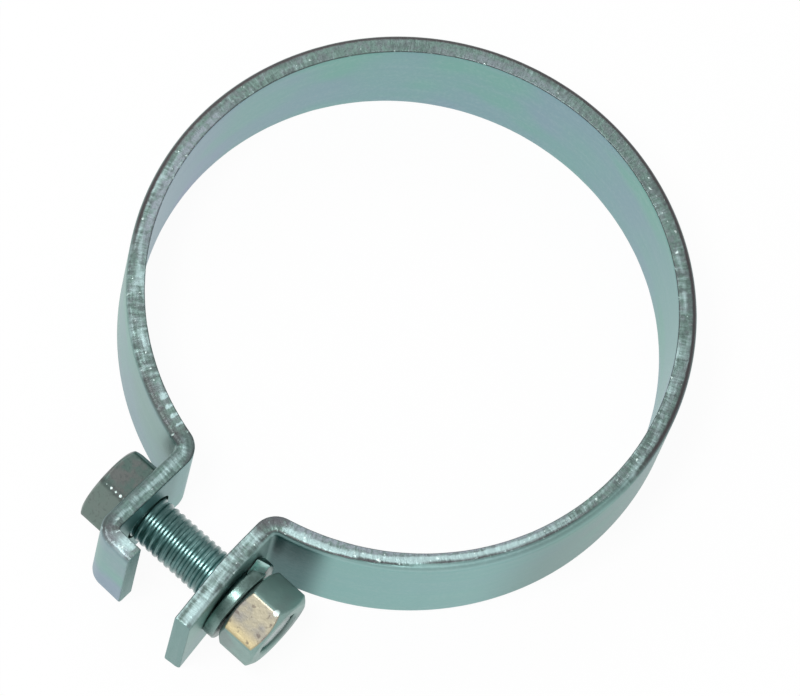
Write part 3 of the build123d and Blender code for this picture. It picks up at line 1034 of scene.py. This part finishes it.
class CLAMP_OT_nut(bpy.types.Operator):
    """Build the hexagon nut with its coned ends and its threaded bore"""

    bl_idname = "clamp.nut"
    bl_label = "Nut"

    def execute(self, context):
        sizes = context.scene.fastener_sizes
        low, high = NUT_LOW.x, NUT_HIGH.x
        turn, hexagon = hexagon_side(sizes, sizes.nut_turn + SIXTH / 2, on_flat=22, on_corner=14)
        face_radius = sizes.flat_radius * sizes.face_share

        def cone(x):
            """Radius of the nearer coned end."""
            return face_radius + np.minimum(x - low, high - x) / np.tan(sizes.cone_slope)

        stops = (0.0, CONE_SHARE, 1.0 - CONE_SHARE, 1.0)
        shares = [np.linspace(stops[i], stops[i + 1], count) for i, count in enumerate((34, 12, 34))]
        side_x = (low + np.unique(np.concatenate(shares)) * (high - low))[1:-1, None]
        face = np.linspace(sizes.thread_radius + COUNTERSINK, face_radius, 6)[:, None]
        side = smaller(cone(side_x), hexagon, CONE_BLEND)
        bore = self.bore_band(sizes, low, high, turn)
        x, radius = stack_bands([(low, face), (side_x, side), (high, face[::-1]), bore], turn)

        from_gold = signed_turn(turn - sizes.nut_turn - 1.5 * SIXTH)
        from_glint = signed_turn(turn - sizes.nut_turn - SIXTH) * sizes.flat_radius
        from_glint = from_glint**2 + (x - high + GLINT_FROM_END) ** 2
        inside_cones = np.clip(0.5 + (cone(x) - hexagon) / (0.1 * MM), 0.0, 1.0)
        on_flats = (radius > face_radius) * inside_cones
        values = {
            "gold": ramp(np.abs(from_gold), SIXTH / 2, SIXTH / 2 - 0.03) * on_flats,
            "low_corner": ramp(from_gold, -0.5, 0.5),
            # painted highlight on one corner
            "glint": spot(from_glint, GLINT_RADIUS**2, 1.5),
        }
        axis_y = -context.scene.clamp_sizes.bolt_distance
        nut = closed_mesh("hex_nut", round_bolt(x, radius, turn, axis_y), values, ends="looped", sharp=50.0)
        seat_on(nut, "nut", "nut", nut_zinc(context.scene.clamp_colours))
        return {"FINISHED"}

    def bore_band(self, sizes, low, high, turn):
        """The bore from the high end back to the low one: a helical thread that fades out at both ends."""
        x = np.arange(high - COUNTERSINK, low + COUNTERSINK, -sizes.thread_pitch / 12)[:, None]
        thread = sizes.thread_depth * thread_share(x, turn, sizes.thread_pitch)
        full = np.clip(np.minimum(high - x, x - low) / THREAD_RUNOUT - 0.3, 0.0, 1.0)
        return x, sizes.thread_radius + (BORE_CLEARANCE - thread) * full


class CLAMP_OT_stage(bpy.types.Operator):
    """Set up the pale floor, the soft studio light and the camera"""

    bl_idname = "clamp.stage"
    bl_label = "Stage"

    def execute(self, context):
        scene = context.scene
        self.add_floor(scene)
        self.add_world(scene)
        self.add_light(scene, "key", (-0.10, -0.36, 0.93), distance=0.75, size=0.20, power=3.1)
        self.add_light(scene, "fill", (-0.55, 0.45, 0.75), distance=0.9, size=0.5, power=1.5)
        self.add_camera(scene)
        scene.view_settings.view_transform = "Standard"
        return {"FINISHED"}

    def add_floor(self, scene):
        """A flat square under the band: pale to light, and near white to the camera, with soft shadows."""
        reach, glow_share = 2.0, 0.95
        corners = [(-reach, -reach), (reach, -reach), (reach, reach), (-reach, reach)]
        mesh = bpy.data.meshes.new("floor")
        mesh.from_pydata([(x, y, FLOOR_HEIGHT) for x, y in corners], [], [(0, 1, 2, 3)])
        floor = bpy.data.objects.new("floor", mesh)
        scene.collection.objects.link(floor)
        finish = Finish("pale_floor", metallic=0.0)
        finish.set(Base_Color=(0.86, 0.86, 0.86), Roughness=0.9)
        camera, glossy, through = [
            finish.node("ShaderNodeLightPath", {}, output=f"Is {ray} Ray")
            for ray in ("Camera", "Glossy", "Transmission")
        ]
        seen = camera.larger(glossy.larger(through)) * glow_share
        glow = finish.node("ShaderNodeEmission", {}, Color=(1.0, 1.0, 1.0), Strength=1.0)
        plain = Link(finish, finish.shader.outputs[0])
        finish.feed(finish.output.inputs[0], finish.node("ShaderNodeMixShader", {}, seen, plain, glow))
        mesh.materials.append(finish.material)

    def add_world(self, scene):
        """White light from all round, weaker from overhead."""
        world = bpy.data.worlds.new("white_room")
        world.use_nodes = True
        room = NodeBuilder(world.node_tree)
        direction = room.node("ShaderNodeTexCoord", {}, output="Generated")
        height = room.node("ShaderNodeSeparateXYZ", {}, direction, output="Z")
        levels = {"From Min": 0.15, "From Max": 0.75, "To Min": 0.85, "To Max": 0.45}
        background = world.node_tree.nodes["Background"]
        room.feed(background.inputs["Color"], (1.0, 1.0, 1.0))
        room.feed(background.inputs["Strength"], room.node("ShaderNodeMapRange", {}, height, **levels))
        scene.world = world

    def place_object(self, scene, name, data, right, up, back, place):
        """An object with the given axes, at the given place."""
        made = bpy.data.objects.new(name, data)
        rows = [[right[i], up[i], back[i], place[i]] for i in range(3)]
        made.matrix_world = Matrix(rows + [[0.0, 0.0, 0.0, 1.0]])
        scene.collection.objects.link(made)
        return made

    def add_light(self, scene, name, direction, distance, size, power):
        """A square lamp in the given direction, turned to face the clamp."""
        lamp = bpy.data.lights.new(name, "AREA")
        lamp.size = size
        lamp.energy = power
        back = unit(np.array(direction))
        side = unit(np.cross((0.0, 0.0, 1.0), back))
        self.place_object(scene, name, lamp, side, np.cross(back, side), back, back * distance)

    def add_camera(self, scene):
        """The camera of the picture: right, up and back are its axes in the clamp's frame."""
        lens = bpy.data.cameras.new("camera")
        lens.sensor_width = 36.0
        lens.sensor_fit = "HORIZONTAL"
        lens.lens = 262.15
        lens.clip_start = 0.05
        lens.clip_end = 10.0
        right, up = (0.74075, 0.66124, 0.11856), (-0.65342, 0.66823, 0.35566)
        back, place = (0.15595, -0.34093, 0.92706), (0.14551, -0.31696, 0.85097)
        scene.camera = self.place_object(scene, "camera", lens, right, up, back, place)


OPERATORS = (CLAMP_OT_band, CLAMP_OT_bolt, CLAMP_OT_washer, CLAMP_OT_nut, CLAMP_OT_stage)


class CLAMP_PT_panel(bpy.types.Panel):
    """Sidebar panel with a button for each piece and the sizes and colours below"""

    bl_idname = "CLAMP_PT_panel"
    bl_label = "Exhaust Clamp"
    bl_space_type = "VIEW_3D"
    bl_region_type = "UI"
    bl_category = "Exhaust Clamp"

    def draw(self, context):
        for operator in OPERATORS:
            self.layout.operator(operator.bl_idname)
        for group in (context.scene.clamp_sizes, context.scene.fastener_sizes, context.scene.clamp_colours):
            column = self.layout.box().column()
            for name in group.__annotations__:
                column.prop(group, name)


CLASSES = (ClampSizes, FastenerSizes, ClampColours, *OPERATORS, CLAMP_PT_panel)


def register():
    for cls in CLASSES:
        bpy.utils.register_class(cls)
    bpy.types.Scene.clamp_sizes = bpy.props.PointerProperty(type=ClampSizes)
    bpy.types.Scene.fastener_sizes = bpy.props.PointerProperty(type=FastenerSizes)
    bpy.types.Scene.clamp_colours = bpy.props.PointerProperty(type=ClampColours)


def unregister():
    for name in ("clamp_colours", "fastener_sizes", "clamp_sizes"):
        delattr(bpy.types.Scene, name)
    for cls in reversed(CLASSES):
        bpy.utils.unregister_class(cls)


def main():
    register()
    bpy.ops.clamp.band()
    bpy.ops.clamp.bolt()
    bpy.ops.clamp.washer()
    bpy.ops.clamp.nut()
    bpy.ops.clamp.stage()


if __name__ == "__main__":
    main()
